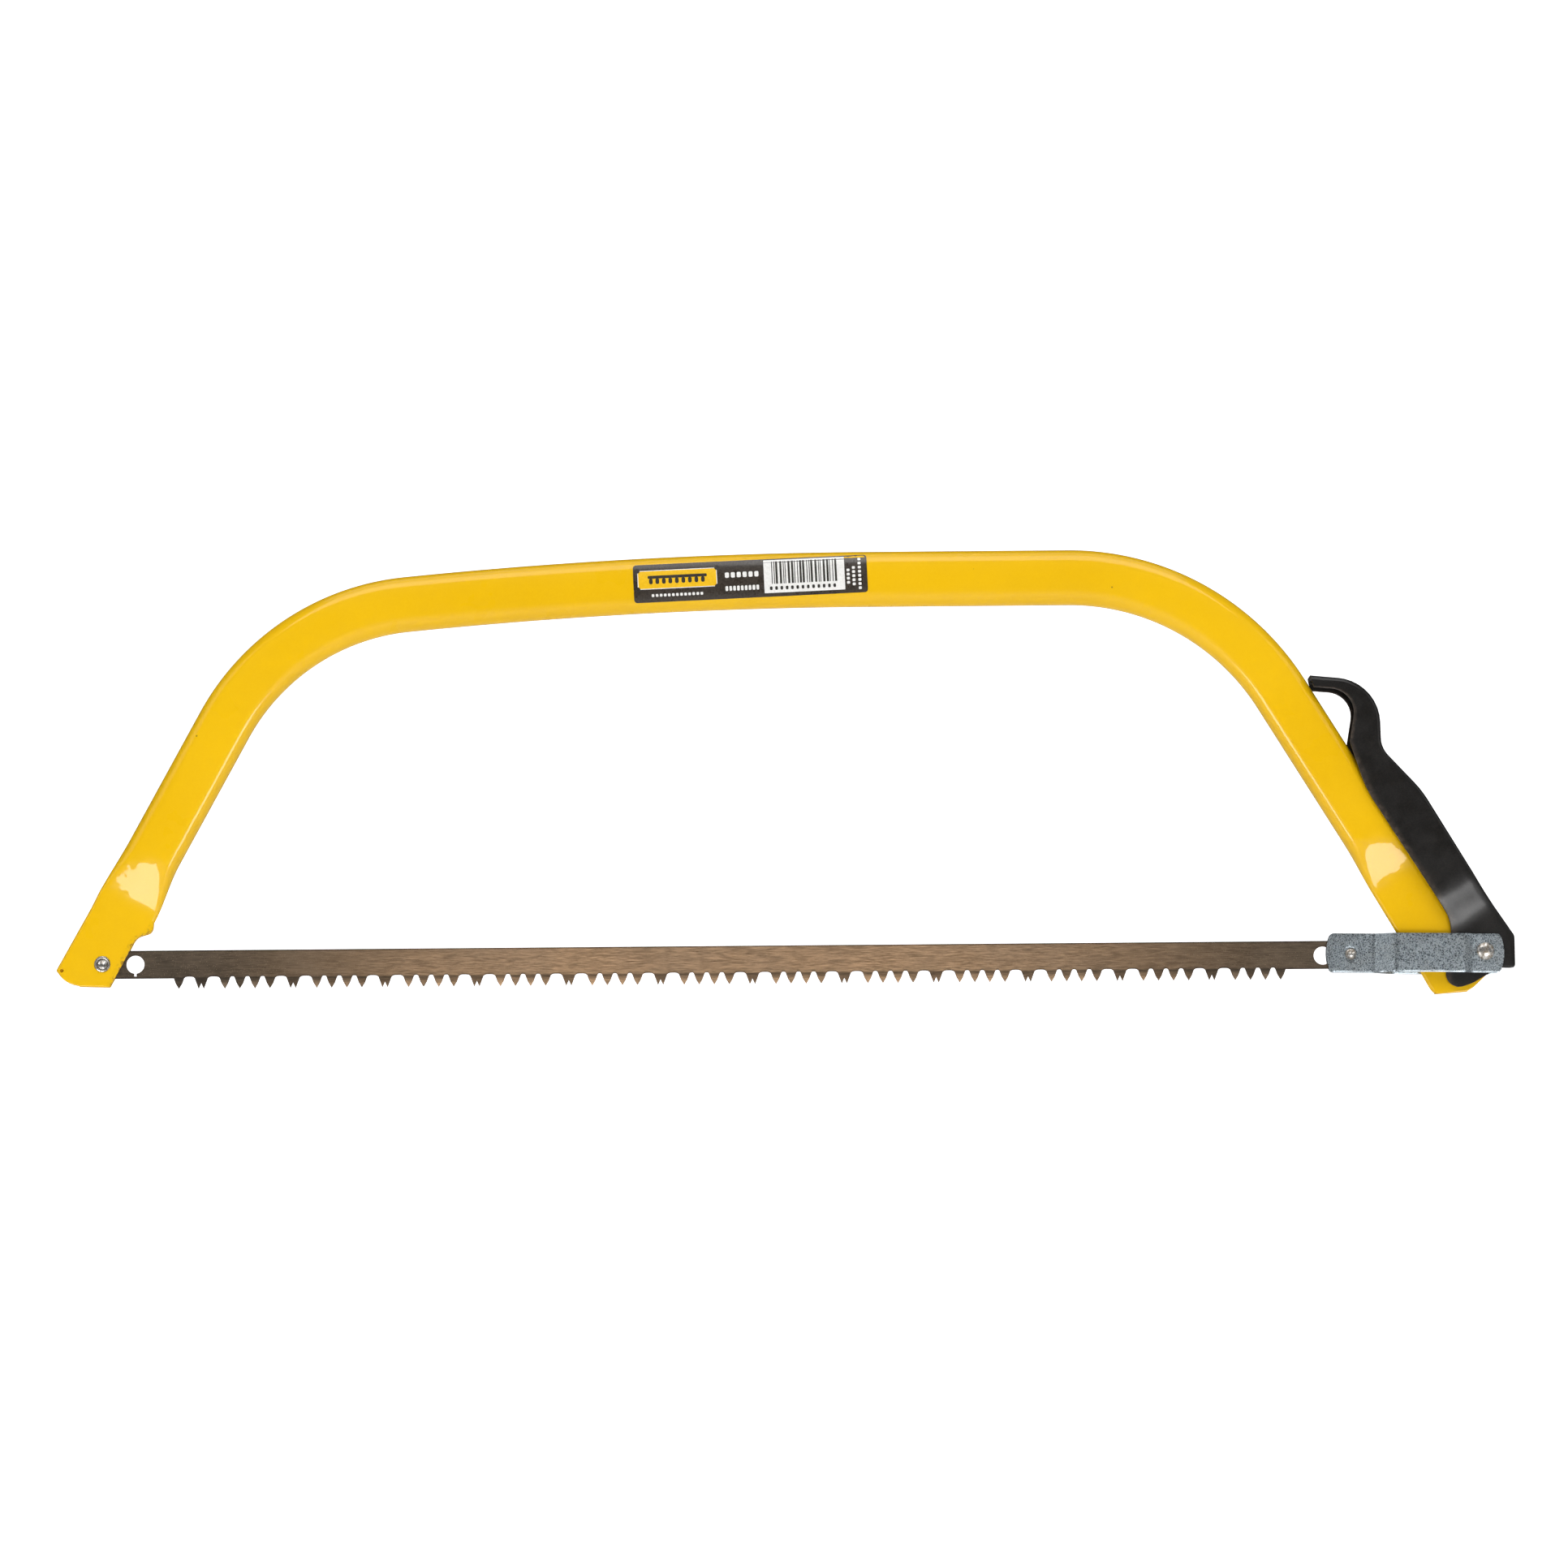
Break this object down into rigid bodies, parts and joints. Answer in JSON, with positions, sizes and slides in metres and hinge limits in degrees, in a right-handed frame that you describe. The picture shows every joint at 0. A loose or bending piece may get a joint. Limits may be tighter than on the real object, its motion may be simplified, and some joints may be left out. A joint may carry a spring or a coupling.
{
  "type": "bow saw",
  "caption": "Bow saw with a bent flat-oval steel tube frame, a tension lever, riveted link plates and a coarse peg-tooth blade.",
  "frame": {"origin": "centre of the whole saw's box, with the lever closed", "axes": "+X along the blade from the front pin to the lever, +Y through the thickness away from the labelled side, +Z from the blade up to the bow"},
  "size_m": [0.713, 0.018, 0.2208],
  "materials": {
    "frame_paint": "gloss",
    "lever_paint": "satin",
    "zinc_plate": "satin",
    "rivet_steel": "polished",
    "blade_steel": "satin",
    "label_film": "gloss"
  },
  "bodies": {
    "frame": {"frame_tube": "frame_paint", "front_blade_pin": "rivet_steel", "label": "label_film", "lever_pivot_pin": "rivet_steel", "pivot_washer_near": "zinc_plate", "pivot_washer_far": "zinc_plate"},
    "lever": {"lever": "lever_paint", "link_rivet_near": "rivet_steel", "link_rivet_far": "rivet_steel"},
    "link": {"link_plate_near": "zinc_plate", "link_plate_far": "zinc_plate", "rear_blade_pin": "rivet_steel"},
    "blade": {"blade": "blade_steel"}
  },
  "joints": [
    {"name": "lever_hinge", "type": "hinge", "parent": "frame", "child": "lever", "pos_m": [0.32626, 0, -0.09161], "axis": [0, 1, 0], "range_deg": [0, 70]},
    {"name": "link_hinge", "type": "hinge", "parent": "lever", "child": "link", "pos_m": [0.34156, 0, -0.09001], "axis": [0, 1, 0], "range_deg": [-96, 0]},
    {"name": "blade_hinge", "type": "hinge", "parent": "frame", "child": "blade", "pos_m": [-0.33374, 0, -0.09041], "axis": [0, 1, 0], "range_deg": [0, 4.2]}
  ],
  "couplings": [
    {"joint": "link_hinge", "follows": "lever_hinge", "ratio": -1.3636},
    {"joint": "blade_hinge", "follows": "lever_hinge", "ratio": 0.0589}
  ]
}
